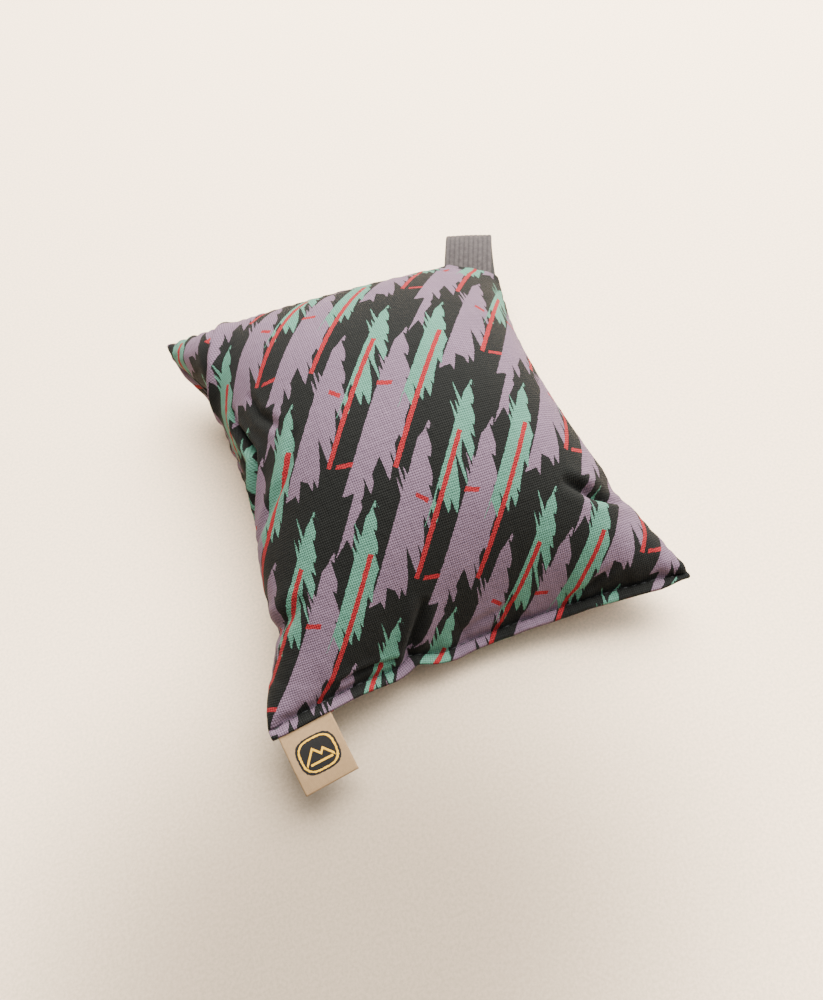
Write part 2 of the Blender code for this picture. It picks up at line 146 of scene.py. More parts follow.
class Sack:
    def __init__(s, nx, ny, hr=2):
        s.nx, s.ny, s.hr = nx, ny, hr
        s.F = F = cut_grid(nx, ny, hr)
        u = np.linspace(0, 1, nx + 1)[:, None]
        v = np.clip((np.arange(ny + 1) - hr) / (ny - hr), 0, 1)[None]
        dome = 10 * np.sin(np.pi * u) ** 0.7 * np.sin(np.pi * v) ** 0.7
        noise = np.random.default_rng(1)
        s.T = np.concatenate([F, (12 + dome + 0.6 * noise.standard_normal(dome.shape))[..., None]], -1)
        s.B = np.concatenate([F, (12 - dome + 0.6 * noise.standard_normal(dome.shape))[..., None]], -1)
        s.sync()
        s.VT, s.VB = np.zeros_like(s.T), np.zeros_like(s.B)
        dist = lambda a, b: np.linalg.norm(b - a, axis=-1)
        s.h, s.v = dist(F[:-1], F[1:]), dist(F[:, :-1], F[:, 1:])
        s.d1, s.d2 = dist(F[:-1, :-1], F[1:, 1:]), dist(F[1:, :-1], F[:-1, 1:])
        s.bh, s.bv = dist(F[:-2], F[2:]), dist(F[:, :-2], F[:, 2:])
        s.lines = seam_lines(F, hr)

    def sync(s):
        for sl in ((0, slice(None)), (-1, slice(None)), (slice(None), -1), (slice(None), slice(0, s.hr + 1))):
            m = 0.5 * (s.T[sl] + s.B[sl])
            s.T[sl] = m
            s.B[sl] = m

    def lead(s, k):
        for sl, p in s.lines:
            for X in (s.T, s.B):
                X[sl] += k * (p - X[sl])
        for j in range(s.hr):
            p = s.lines[0][1].copy()
            p[:, 1] -= HEM * (1 - j / s.hr)
            p[:, 2] += 0.27 * (1 - j / s.hr)
            for X in (s.T, s.B):
                X[:, j] += k * (p - X[:, j])

    def volume(s):
        hr, V, gs = s.hr, 0.0, []
        for X, sg in ((s.T, 1), (s.B, -1)):
            g = np.zeros_like(X)
            a, b, c, d = X[:-1, hr:-1], X[1:, hr:-1], X[1:, hr + 1:], X[:-1, hr + 1:]
            n = 0.5 * np.cross(c - a, d - b) * sg
            V += (0.25 * (a + b + c + d) * n).sum() / 3
            for t in (g[:-1, hr:-1], g[1:, hr:-1], g[1:, hr + 1:], g[:-1, hr + 1:]):
                t += n / 4
            gs.append(g)
        return V, gs

    def step(s, iters, volume, grav, damp, bend, shear, lead=1.0):
        T0, B0 = s.T.copy(), s.B.copy()
        s.T += damp * s.VT
        s.B += damp * s.VB
        s.T[..., 2] -= grav
        s.B[..., 2] -= grav
        for _ in range(iters):
            for X in (s.T, s.B):
                for k in (0, 1):
                    pull(X[k:-1:2], X[k + 1::2], s.h[k::2], 1)
                    pull(X[:, k:-1:2], X[:, k + 1::2], s.v[:, k::2], 1)
                    pull(X[k:-1:2, :-1], X[k + 1::2, 1:], s.d1[k::2], shear)
                    pull(X[k + 1::2, :-1], X[k:-1:2, 1:], s.d2[k::2], shear)
                for k in (0, 1, 2, 3):
                    push(X[k:-2:4], X[k + 2::4], s.bh[k::4], bend)
                    push(X[:, k:-2:4], X[:, k + 2::4], s.bv[:, k::4], bend)
            V, (gT, gB) = s.volume()
            lam = (volume - V) / ((gT ** 2).sum() + (gB ** 2).sum())
            s.T += lam * gT
            s.B += lam * gB
            s.sync()
            s.lead(lead)
            for X in (s.T, s.B):
                np.maximum(X[..., 2], 0, out=X[..., 2])
        s.VT = np.clip(s.T - T0, -4, 4)
        s.VB = np.clip(s.B - B0, -4, 4)

    def finer(s):
        new = Sack(s.nx * 2, (s.ny - s.hr) * 2 + s.hr, s.hr)
        for name in ("T", "B"):
            X = getattr(s, name)
            P, H = X[:, s.hr:], X[:, :s.hr]
            G = np.zeros((H.shape[0] * 2 - 1, s.hr, 3))
            G[::2] = H
            G[1::2] = 0.5 * (H[1:] + H[:-1])
            getattr(new, name)[...] = np.concatenate([G, resample(P, 2)], 1)
        new.sync()
        return new


def catmull(P, n):
    """n times as many spans along the first axis, through every old point."""
    E = np.concatenate([2 * P[:1] - P[1:2], P, 2 * P[-1:] - P[-2:-1]], 0)
    out = [P[:1]]
    for k in range(len(P) - 1):
        a, b, c, d = E[k], E[k + 1], E[k + 2], E[k + 3]
        t = (np.arange(1, n + 1) / n).reshape((-1,) + (1,) * (P.ndim - 1))
        out.append(0.5 * (2 * b + (c - a) * t + (2 * a - 5 * b + 4 * c - d) * t ** 2
                          + (3 * b - a - 3 * c + d) * t ** 3))
    return np.concatenate(out, 0)


def resample(P, n):
    Q = catmull(P, n)
    return np.swapaxes(catmull(np.swapaxes(Q, 0, 1), n), 0, 1)


sack = Sack(22, 26)
for i in range(180):
    sack.step(8, FILL_ML * 1000 * min(1, 0.3 + 0.7 * i / 70), 0.03, 0.85, 0.2, 0.35, 0.2 if i < 60 else 1.0)
sack = sack.finer()
for i in range(100):
    sack.step(12, FILL_ML * 1000, 0.01, 0.85 if i < 70 else 0.4, 0.10, 0.3)
sack = sack.finer()
for i in range(70):
    sack.step(16, FILL_ML * 1000, 0.01, 0.85 if i < 50 else 0.4, 0.05, 0.25)
UP = 2

# ------------------------------------------------------------- mesh utilities
def normals(P):
    """Unit normals of a grid, pointing up when x and y run right and away."""
    du = np.gradient(P, axis=0)
    dv = np.gradient(P, axis=1)
    n = np.cross(du, dv)
    return n / (np.linalg.norm(n, axis=-1, keepdims=True) + 1e-9)


def make_mesh(name, verts, faces, body, mat, uv=None, smooth_angle=None, corner_uv=None):
    mesh = bpy.data.meshes.new(name)
    mesh.from_pydata([tuple(v) for v in (np.asarray(verts) + SHIFT) * MM], [], faces)
    mesh.validate()
    if uv is not None:
        layer = mesh.uv_layers.new(name="cloth")
        idx = np.empty(len(mesh.loops), np.int32)
        mesh.loops.foreach_get("vertex_index", idx)
        layer.data.foreach_set("uv", np.asarray(uv, np.float32)[idx].ravel())
    mesh.shade_smooth()
    if smooth_angle:
        mesh.set_sharp_from_angle(angle=math.radians(smooth_angle))
    obj = bpy.data.objects.new(name, mesh)
    bpy.context.scene.collection.objects.link(obj)
    mesh.materials.append(mat)
    if body:
        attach(obj, body)
    return obj


def grid_faces(n, m, offset=0, flip=False):
    i, j = np.meshgrid(np.arange(n - 1), np.arange(m - 1), indexing="ij")
    a = (i * m + j).ravel() + offset
    f = np.stack([a, a + m, a + m + 1, a + 1], -1)
    return f[:, ::-1] if flip else f


def shell(outer, inner, side):
    """Closed body between two grids with the same layout; side +1 when outer is on top."""
    n, m = outer.shape[:2]
    verts = np.concatenate([outer.reshape(-1, 3), inner.reshape(-1, 3)])
    faces = [grid_faces(n, m, 0, side < 0), grid_faces(n, m, n * m, side > 0)]
    ring = np.concatenate([np.arange(m)[::-1], np.arange(1, n) * m, (n - 1) * m + np.arange(1, m),
                           (np.arange(n - 1)[::-1]) * m + m - 1])[:-1]
    a, b = ring, np.roll(ring, -1)
    q = np.stack([a, b, b + n * m, a + n * m], -1)
    faces.append(q[:, ::-1] if side > 0 else q)
    return verts, np.concatenate(faces).tolist()


# ------------------------------------------------------------------ materials
class Nodes:
    """Short helper for writing node trees."""

    def __init__(s, name):
        s.mat = bpy.data.materials.new(name)
        s.mat.use_nodes = True
        s.tree = s.mat.node_tree
        s.bsdf = s.tree.nodes["Principled BSDF"]

    def new(s, kind, **props):
        n = s.tree.nodes.new(kind)
        for k, v in props.items():
            setattr(n, k, v)
        return n

    def link(s, a, b):
        s.tree.links.new(a, b)

    def put(s, socket, value):
        if hasattr(value, "is_output") or isinstance(value, bpy.types.NodeSocket):
            s.link(value, socket)
        else:
            socket.default_value = value

    def math(s, op, a, b=None, c=None, clamp=False):
        n = s.new("ShaderNodeMath", operation=op, use_clamp=clamp)
        for k, v in enumerate((a, b, c)):
            if v is not None:
                s.put(n.inputs[k], v)
        return n.outputs[0]

    def mix(s, fac, a, b):
        n = s.new("ShaderNodeMix", data_type="RGBA")
        s.put(n.inputs[0], fac)
        for k, v in ((6, a), (7, b)):
            s.put(n.inputs[k], v)
        return n.outputs[2]

    def noise(s, vec, scale, detail=2.0, rough=0.5, distortion=0.0, color=False):
        n = s.new("ShaderNodeTexNoise")
        s.link(vec, n.inputs["Vector"])
        n.inputs["Scale"].default_value = scale
        n.inputs["Detail"].default_value = detail
        n.inputs["Roughness"].default_value = rough
        n.inputs["Distortion"].default_value = distortion
        return n.outputs["Color" if color else "Fac"]

    def uv(s, name="cloth"):
        return s.new("ShaderNodeUVMap", uv_map=name).outputs[0]

    def xyz(s, vec):
        n = s.new("ShaderNodeSeparateXYZ")
        s.link(vec, n.inputs[0])
        return n.outputs

    def vec(s, x, y, z=0.0):
        n = s.new("ShaderNodeCombineXYZ")
        for k, v in enumerate((x, y, z)):
            s.put(n.inputs[k], v)
        return n.outputs[0]

    def bump(s, height, strength, distance, normal=None):
        n = s.new("ShaderNodeBump")
        n.inputs["Strength"].default_value = strength
        n.inputs["Distance"].default_value = distance
        s.link(height, n.inputs["Height"])
        if normal is not None:
            s.link(normal, n.inputs["Normal"])
        return n.outputs[0]

    def ramp(s, value, lo, hi, a=0.0, b=1.0):
        n = s.new("ShaderNodeMapRange", clamp=True)
        s.link(value, n.inputs[0])
        for k, v in ((1, lo), (2, hi), (3, a), (4, b)):
            s.put(n.inputs[k], v)
        return n.outputs[0]


def plain_weave(N, x, y, pitch_x, pitch_y):
    """Height 0..1 of a plain weave and how far the warp is on top; x, y in mm."""
    sx = N.math("SINE", N.math("MULTIPLY", x, math.pi / pitch_x))
    sy = N.math("SINE", N.math("MULTIPLY", y, math.pi / pitch_y))
    ax, ay = N.math("ABSOLUTE", sx), N.math("ABSOLUTE", sy)
    gx, gy = N.math("SIGN", sx), N.math("SIGN", sy)
    over_x = N.math("MULTIPLY_ADD", N.math("MULTIPLY", sy, gx), 0.5, 0.5)
    over_y = N.math("MULTIPLY_ADD", N.math("MULTIPLY", sx, gy), -0.5, 0.5)
    warp = N.math("MULTIPLY", N.math("POWER", ax, 0.6), over_x)
    weft = N.math("MULTIPLY", N.math("POWER", ay, 0.6), over_y)
    return N.math("MAXIMUM", warp, weft), over_x


# The print: an own drawing of slanted torn brush strokes.  s runs up the slant
# and t across it, both in mm; one repeat holds four strokes, two bars, dashes.
LEAD = math.radians(38.5)      # slant of the strokes against the panel's length
REPEAT_S, REPEAT_T, DROP, SHEAR = 70.0, 31.0, -20.0, 1.35
STATIONS = 256
T_LOW, T_SPAN = -6.0, 22.0


def torn(seed, length, width, thorns=(), tip=0.5, bite=1.0):
    """Left and right edge of a torn stroke at each station, in mm: thin at its lower
    tip, tongues along its right side, thorns on its left, split at the top."""
    r = np.random.default_rng(seed)

    def body(a):
        return width * min(1.0, (a / (tip * length)) ** 0.9)

    R, a = [(0.0, 0.1)], r.uniform(5.0, 8.0)
    top = 0.80 * length
    while a < top - 2:
        b = body(a)
        cut = r.choice([0.5, 1.0, 2.2, 4.2], p=[0.3, 0.3, 0.25, 0.15]) * r.uniform(0.8, 1.2) * bite
        grow = r.uniform(0.0, 1.7) * bite
        back = r.uniform(1.2, 5.0)
        R += [(a, max(0.4, b - cut)), (a + 0.25, b + grow), (a + back, b + r.uniform(-0.4, 0.4)),
              (a + back + 0.2, max(0.5, b - r.uniform(0.2, 0.7) * cut))]
        a += back + r.choice([0.7, 1.6, 4.0, 6.5])
    # the top is torn into upright splinters, the left one the longest
    for part, wide in ((0.80, 0.98), (0.87, 0.72), (0.94, 0.46)):
        R += [(part * length, width * wide), (part * length + 0.3, width * (wide - 0.34)),
              (part * length + 0.5 + 0.02 * length, width * (wide - 0.20))]
    R += [(length, 0.20 * width)]
    L = [(0.0, 0.0), (0.2 * length, 0.2)]
    for part in thorns:
        a = part * length
        for k, h in enumerate(r.permutation([4.6, 1.8, 3.2])):
            L += [(a + 2.3 * k, 0.1), (a + 2.3 * k + 1.2, -h), (a + 2.3 * k + 1.5, 0.3)]
    L += [(0.85 * length, 0.1), (0.91 * length, 0.10 * width), (length, 0.18 * width)]
    x = np.linspace(0, REPEAT_S, STATIONS)
    L, R = (np.array(sorted(e)) for e in (L, R))
    left, right = np.interp(x, L[:, 0], L[:, 1]), np.interp(x, R[:, 0], R[:, 1])
    left[x > length], right[x > length] = 5.0, 4.9
    return (left - T_LOW) / T_SPAN, (right - T_LOW) / T_SPAN


def curve_node(N, value, table):
    n = N.new("ShaderNodeFloatCurve")
    m = n.mapping
    m.use_clip = False
    c = m.curves[0]
    xs = np.linspace(0, 1, STATIONS)
    keep = [0] + [k for k in range(1, STATIONS - 1)
                  if abs(table[k] - 0.5 * (table[k - 1] + table[k + 1])) > 1e-5] + [STATIONS - 1]
    c.points[0].location = (xs[keep[0]], table[keep[0]])
    c.points[1].location = (xs[keep[-1]], table[keep[-1]])
    for k in keep[1:-1]:
        c.points.new(xs[k], table[k])
    for p in c.points:
        p.handle_type = "VECTOR"
    m.update()
    N.link(value, n.inputs["Value"])
    return n.outputs[0]


def band(N, x, lo, hi):
    return N.math("MULTIPLY", N.math("GREATER_THAN", x, lo), N.math("LESS_THAN", x, hi))


def lattice(N, s, t, s0, t0, room):
    """Coordinates inside one repeat: s 0..REPEAT_S, t with `room` mm before 0."""
    k = N.math("FLOOR", N.math("DIVIDE", N.math("SUBTRACT", t, t0 - room), REPEAT_T))
    tt = N.math("SUBTRACT", N.math("SUBTRACT", t, t0), N.math("MULTIPLY", k, REPEAT_T))
    ss = N.math("SUBTRACT", N.math("SUBTRACT", s, s0), N.math("MULTIPLY", k, DROP))
    ss = N.math("FLOORED_MODULO", ss, REPEAT_S)
    return ss, tt


def stroke(N, s, t, s0, t0, *shape):
    ss, tt = lattice(N, s, t, s0, t0, 5.0)
    f = N.math("DIVIDE", N.math("ADD", ss, N.math("MULTIPLY", tt, SHEAR)), REPEAT_S, clamp=True)
    v = N.math("DIVIDE", N.math("SUBTRACT", tt, T_LOW), T_SPAN)
    left, right = (curve_node(N, f, table) for table in torn(*shape))
    return band(N, v, left, right)


def bar(N, s, t, s0, t0, length, width):
    ss, tt = lattice(N, s, t, s0, t0, 4.0)
    return N.math("MULTIPLY", N.math("LESS_THAN", ss, length), N.math("LESS_THAN", N.math("ABSOLUTE", tt), width / 2))


def dash(N, s, t, s0, t0, length=4.3, width=1.5, slope=0.15):
    ss, tt = lattice(N, s, t, s0, t0, 8.0)
    across = N.math("ABSOLUTE", N.math("SUBTRACT", N.math("SUBTRACT", ss, 8.0), N.math("MULTIPLY", tt, slope)))
    return N.math("MULTIPLY", N.math("LESS_THAN", across, width / 2), N.math("LESS_THAN", N.math("ABSOLUTE", tt), length / 2))


BLACK = (0.0072, 0.0076, 0.0068, 1)
MAUVE = (0.122, 0.081, 0.112, 1)
SEA = (0.062, 0.160, 0.114, 1)
RED = (0.200, 0.0115, 0.015, 1)


def canvas_material(name, shift):
    N = Nodes(name)
    uvx = N.xyz(N.uv())
    x = N.math("MULTIPLY", uvx[0], 200.0)
    y = N.math("MULTIPLY", uvx[1], 200.0)
    flat = N.vec(x, y)
    # the ink follows the threads, so the edges of the print waver a little
    wob = N.noise(flat, 1.1, 2.0, 0.6, color=True)
    wv = N.xyz(wob)
    px = N.math("MULTIPLY_ADD", N.math("SUBTRACT", wv[0], 0.5), 0.55, x)
    py = N.math("MULTIPLY_ADD", N.math("SUBTRACT", wv[1], 0.5), 0.55, y)
    px, py = N.math("ADD", px, shift[0]), N.math("ADD", py, shift[1])
    ca, sa = math.cos(LEAD), math.sin(LEAD)
    s = N.math("ADD", N.math("MULTIPLY", px, sa), N.math("MULTIPLY", py, ca))
    t = N.math("SUBTRACT", N.math("MULTIPLY", px, ca), N.math("MULTIPLY", py, sa))
    color = BLACK
    for mask, ink in (
        (stroke(N, s, t, 12, -0.8, 3, 58, 10.4, (0.62,), 0.34), MAUVE),
        (stroke(N, s, t, -14, 14.0, 26, 56, 9.4, (0.56,), 0.38), MAUVE),
        (stroke(N, s, t, 40, 6.6, 8, 46, 7.2, (0.60,), 0.34), SEA),
        (stroke(N, s, t, 12, 22.4, 12, 46, 7.0, (0.66,), 0.36), SEA),
        (stroke(N, s, t, 66, 2.0, 41, 24, 3.2, (), 0.4, 0.6), MAUVE),
        (bar(N, s, t, 24, 10.6, 46, 1.35), RED),
        (bar(N, s, t, -2, 24.4, 42, 1.35), RED),
        (dash(N, s, t, 38, 1.0, 4.0, 1.4, 0.35), RED),
        (dash(N, s, t, 11, 19.6, 3.6, 1.3, -0.1), RED),
        (dash(N, s, t, 62, 28.4, 4.2, 1.3, 0.5), RED),
    ):
        color = N.mix(mask, color, ink)
    # plain weave, its threads a little uneven
    thick = N.noise(N.vec(N.math("MULTIPLY", x, 0.04), y), 1.3, 1.0)
    thin = N.noise(N.vec(x, N.math("MULTIPLY", y, 0.04)), 1.3, 1.0)
    wx = N.math("MULTIPLY_ADD", thin, 0.35, x)
    wy = N.math("MULTIPLY_ADD", thick, 0.35, y)
    height, over = plain_weave(N, wx, wy, 0.62, 0.66)
    # deep between the threads the ink is thin and the light does not reach
    shade = N.ramp(height, 0.1, 0.85, 0.40, 1.22)
    fade = N.ramp(N.noise(flat, 0.06, 3.0, 0.6), 0.3, 0.7, 0.93, 1.06)
    fleck = N.ramp(N.noise(flat, 2.2, 2.0, 0.7), 0.35, 0.7, 0.94, 1.07)
    gain = N.math("MULTIPLY", N.math("MULTIPLY", shade, fade), fleck)
    out = N.new("ShaderNodeVectorMath", operation="SCALE")
    N.link(color, out.inputs[0])
    N.link(gain, out.inputs["Scale"])
    N.link(out.outputs[0], N.bsdf.inputs["Base Color"])
    N.bsdf.inputs["Roughness"].default_value = 0.88
    N.link(N.ramp(height, 0.0, 1.0, 0.95, 0.82), N.bsdf.inputs["Roughness"])
    N.bsdf.inputs["Specular IOR Level"].default_value = 0.09
    N.bsdf.inputs["Sheen Weight"].default_value = 0.02
    N.bsdf.inputs["Sheen Roughness"].default_value = 0.45
    b = N.bump(N.noise(flat, 0.35, 3.0, 0.6), 0.25, 0.0012)
    b = N.bump(height, 0.8, 0.00022, b)
    N.link(b, N.bsdf.inputs["Normal"])
    return N.mat


def webbing_material():
    N = Nodes("webbing_grey")
    uvx = N.xyz(N.uv())
    w = N.math("MULTIPLY", uvx[0], 200.0)      # mm across
    l = N.math("MULTIPLY", uvx[1], 200.0)      # mm along
    flat = N.vec(w, l)
    rib = N.math("ABSOLUTE", N.math("SINE", N.math("MULTIPLY", w, math.pi / 1.9)))
    pick = N.math("ABSOLUTE", N.math("SINE", N.math("MULTIPLY", l, math.pi / 0.55)))
    half = N.math("ABSOLUTE", N.math("SINE", N.math("MULTIPLY", w, math.pi / 0.475)))
    h = N.math("MULTIPLY_ADD", pick, 0.5, N.math("MULTIPLY", half, 0.35))
    # painted shade: the colour is darker where the ribs and picks of the weave lie low
    tone = N.ramp(N.math("MULTIPLY", N.math("MULTIPLY_ADD", rib, 0.6, 0.4), N.math("MULTIPLY_ADD", pick, 0.5, 0.5)), 0.15, 0.9, 0.38, 1.2)
    fleck = N.ramp(N.noise(flat, 1.6, 2.0, 0.7), 0.3, 0.7, 0.85, 1.12)
    col = N.mix(N.ramp(N.noise(flat, 0.5, 2.0), 0.35, 0.65), (0.036, 0.0285, 0.0275, 1), (0.053, 0.043, 0.041, 1))
    # painted shade: the inward face gets a darker copy of the webbing colour, standing in for the shade on the under
    # ply
    inner_face_painted_shade = N.math("GREATER_THAN", l, 80.0)   # the inward face is laid 100 mm on
    col = N.mix(inner_face_painted_shade, col, (0.016, 0.0150, 0.0135, 1))
    out = N.new("ShaderNodeVectorMath", operation="SCALE")
    N.link(col, out.inputs[0])
    N.link(N.math("MULTIPLY", tone, fleck), out.inputs["Scale"])
    N.link(out.outputs[0], N.bsdf.inputs["Base Color"])
    N.link(N.ramp(h, 0, 1, 0.85, 0.6), N.bsdf.inputs["Roughness"])
    N.bsdf.inputs["Specular IOR Level"].default_value = 0.2
    N.bsdf.inputs["Sheen Weight"].default_value = 0.05
    N.link(N.bump(h, 0.8, 0.00020), N.bsdf.inputs["Normal"])
    return N.mat


def label_material():
    """Woven ribbon with a plain dark badge and a ridge line; coordinates in mm
    from the label's middle: x across, y from the hem to the fold."""
    N = Nodes("label_woven")
    uvx = N.xyz(N.uv())
    x = N.math("MULTIPLY", uvx[0], 200.0)
    y = N.math("MULTIPLY", uvx[1], 200.0)
    flat = N.vec(x, y)
    height, over = plain_weave(N, x, y, 0.22, 0.3)
    # badge: a disc with a slightly uneven stitched rim
    rim = N.math("MULTIPLY_ADD", N.math("SUBTRACT", N.noise(flat, 1.3, 1.0), 0.5), 0.35, 0.0)
    r = N.math("ADD", N.math("POWER", N.math("ADD", N.math("POWER", N.math("DIVIDE", N.math("ABSOLUTE", x), 6.0), 3.0),
                                             N.math("POWER", N.math("DIVIDE", N.math("ABSOLUTE", N.math("SUBTRACT", y, 8.2)), 5.0), 3.0)), 1 / 3.0),
               N.math("MULTIPLY", rim, 0.2))
    badge = N.math("LESS_THAN", r, 1.0)
    ring = band(N, r, 0.80, 0.89)
    # two plain peaks
    peak1 = N.math("ABSOLUTE", N.math("ADD", x, 1.1))
    peak2 = N.math("ABSOLUTE", N.math("SUBTRACT", x, 1.7))
    ridge = N.math("MAXIMUM", N.math("MULTIPLY_ADD", peak1, -1.15, 2.3), N.math("MULTIPLY_ADD", peak2, -1.15, 1.4))
    yy = N.math("SUBTRACT", 8.9, y)             # up towards the hem
    line = N.math("LESS_THAN", N.math("ABSOLUTE", N.math("SUBTRACT", yy, ridge)), 0.42)
    line = N.math("MULTIPLY", line, N.math("GREATER_THAN", ridge, -1.3))
    base = N.math("MULTIPLY", N.math("LESS_THAN", N.math("ABSOLUTE", N.math("ADD", yy, 1.5)), 0.28), N.math("LESS_THAN", N.math("ABSOLUTE", N.math("SUBTRACT", x, 0.1)), 3.3))
    mark = N.math("MAXIMUM", N.math("MAXIMUM", line, base), ring)
    mark = N.math("MULTIPLY", mark, badge)
    tone = N.ramp(N.noise(flat, 0.7, 3.0, 0.6), 0.3, 0.7, 0.92, 1.06)
    beige = (0.240, 0.152, 0.075, 1)
    col = N.mix(badge, beige, (0.0075, 0.0070, 0.0065, 1))
    col = N.mix(mark, col, (0.60, 0.33, 0.018, 1))
    shade = N.math("MULTIPLY", tone, N.ramp(height, 0.1, 0.9, 0.8, 1.05))
    out = N.new("ShaderNodeVectorMath", operation="SCALE")
    N.link(col, out.inputs[0])
    N.link(shade, out.inputs["Scale"])
    N.link(out.outputs[0], N.bsdf.inputs["Base Color"])
    N.bsdf.inputs["Roughness"].default_value = 0.75
    N.bsdf.inputs["Specular IOR Level"].default_value = 0.15
    N.bsdf.inputs["Sheen Weight"].default_value = 0.02
    raised = N.math("MULTIPLY_ADD", mark, 0.6, N.math("MULTIPLY", badge, 0.8))
    b = N.bump(raised, 0.8, 0.00012)
    N.link(N.bump(height, 0.6, 0.00008, b), N.bsdf.inputs["Normal"])
    return N.mat


def plain_cloth(name, color, pitch, bump=0.00015):
    N = Nodes(name)
    uvx = N.xyz(N.uv())
    x = N.math("MULTIPLY", uvx[0], 200.0)
    y = N.math("MULTIPLY", uvx[1], 200.0)
    height, over = plain_weave(N, x, y, pitch, pitch)
    # painted shade where the weave lies low, times a random tone
    tone = N.math("MULTIPLY", N.ramp(height, 0.1, 0.9, 0.8, 1.05), N.ramp(N.noise(N.vec(x, y), 0.3, 3.0), 0.3, 0.7, 0.9, 1.08))
    out = N.new("ShaderNodeVectorMath", operation="SCALE")
    out.inputs[0].default_value = color[:3]
    N.link(tone, out.inputs["Scale"])
    N.link(out.outputs[0], N.bsdf.inputs["Base Color"])
    N.bsdf.inputs["Roughness"].default_value = 0.9
    N.link(N.bump(height, 0.7, bump), N.bsdf.inputs["Normal"])
    return N.mat


def thread_material():
    N = Nodes("sewing_thread")
    uvx = N.xyz(N.uv())
    a = N.math("MULTIPLY", uvx[0], 200.0)
    l = N.math("MULTIPLY", uvx[1], 200.0)
    ply = N.math("ABSOLUTE", N.math("SINE", N.math("ADD", N.math("MULTIPLY", l, 7.0), N.math("MULTIPLY", a, math.pi))))
    # painted shade: the thread is darker in the low grooves of its twist
    col = N.mix(ply, (0.006, 0.006, 0.007, 1), (0.026, 0.027, 0.028, 1))
    N.link(col, N.bsdf.inputs["Base Color"])
    N.bsdf.inputs["Roughness"].default_value = 0.55
    N.bsdf.inputs["Specular IOR Level"].default_value = 0.35
    N.link(N.bump(ply, 0.8, 0.00006), N.bsdf.inputs["Normal"])
    return N.mat


def granule_material():
    N = Nodes("dry_granules")
    uvx = N.xyz(N.uv())
    v = N.vec(N.math("MULTIPLY", uvx[0], 200.0), N.math("MULTIPLY", uvx[1], 200.0))
    vor = N.new("ShaderNodeTexVoronoi")
    N.link(v, vor.inputs["Vector"])
    vor.inputs["Scale"].default_value = 0.6
    # painted shade: each granule is darker towards its rim, in the low gaps between granules
    col = N.mix(N.ramp(vor.outputs["Distance"], 0.0, 0.6), (0.72, 0.69, 0.62, 1), (0.38, 0.35, 0.30, 1))
    N.link(col, N.bsdf.inputs["Base Color"])
    N.bsdf.inputs["Roughness"].default_value = 0.95
    N.link(N.bump(vor.outputs["Distance"], 1.0, -0.0008), N.bsdf.inputs["Normal"])
    return N.mat


M_FRONT = canvas_material("printed_canvas_front", (8.0, 12.0))
M_BACK = canvas_material("printed_canvas_back", (31.0, 47.0))
M_WEB = webbing_material()
M_LABEL = label_material()
M_THREAD = thread_material()
M_POUCH = plain_cloth("unbleached_cotton", (0.62, 0.57, 0.48, 1), 0.35)
M_FILL = granule_material()

# ------------------------------------------------------------- the two panels
HR = sack.hr
F = sack.F
SEAM = resample(np.stack([sack.T[:, HR], sack.T[:, HR]], 1), 1)[:, 0]
CROWN_F = np.concatenate([F[:, HR:], np.zeros(F[:, HR:].shape[:2] + (1,))], -1)
fine_flat = resample(CROWN_F, UP)[..., :2]
NXF, NYF = fine_flat.shape[:2]


def seam_distance(f):
    """mm in the flat cut from the closing, left, far, right and corner edges."""
    x, y = f[..., 0], f[..., 1]
    n = math.hypot(CUT_X, CUT_Y)
    corner = ((FLAT_W - x) * CUT_Y + (FLAT_L - y) * CUT_X - CUT_X * CUT_Y) / n
    return y, x, FLAT_L - y, FLAT_W - x, corner


D_NEAR, D_LEFT, D_FAR, D_RIGHT, D_CUT = seam_distance(fine_flat)
D_TURNED = np.minimum(np.minimum(D_LEFT, D_FAR), np.minimum(D_RIGHT, D_CUT))


def near_line(f, a, b):
    a, b = np.array(a, float), np.array(b, float)
    d = b - a
    t = np.clip(((f - a) @ d) / (d @ d), 0, 1)
    return np.linalg.norm(f - (a + t[..., None] * d), axis=-1), t


def wave_noise(x, seed, lengths, weights):
    """Smooth, repeatable waver along x (mm)."""
    r = np.random.default_rng(seed)
    out = np.zeros_like(x)
    for L, w in zip(lengths, weights):
        out += w * np.sin(2 * np.pi * x / (L * r.uniform(0.85, 1.15)) + r.uniform(0, 6.28))
    return out


def crease(f, pts, depth, width, left=0.4, right=0.4):
    """A valley along the polyline, with a soft ridge on each side (share of depth)."""
    pts = np.array(pts, float)
    seg = np.linalg.norm(np.diff(pts, axis=0), axis=1)
    at = np.r_[0, np.cumsum(seg)] / seg.sum()
    best = np.full(f.shape[:2], 1e9)
    side, place = np.zeros_like(best), np.zeros_like(best)
    for k in range(len(pts) - 1):
        d, t = near_line(f, pts[k], pts[k + 1])
        e = pts[k + 1] - pts[k]
        cross = e[0] * (f[..., 1] - pts[k][1]) - e[1] * (f[..., 0] - pts[k][0])
        nearer = d < best
        best = np.where(nearer, d, best)
        side = np.where(nearer, np.sign(cross), side)
        place = np.where(nearer, at[k] + t * (at[k + 1] - at[k]), place)
    ends = np.sin(np.pi * np.clip(place, 0.0, 1.0)) ** 0.55
    ridge = np.where(side > 0, left, right) * np.exp(-((best - 2.3 * width) / (1.3 * width)) ** 2)
    ridge = ridge * smooth(best / width)
    return depth * ends * (ridge - np.exp(-(best / width) ** 1.6))


def bulge(f, x, y, rx, ry, height):
    return height * np.exp(-((f[..., 0] - x) / rx) ** 2 - ((f[..., 1] - y) / ry) ** 2)


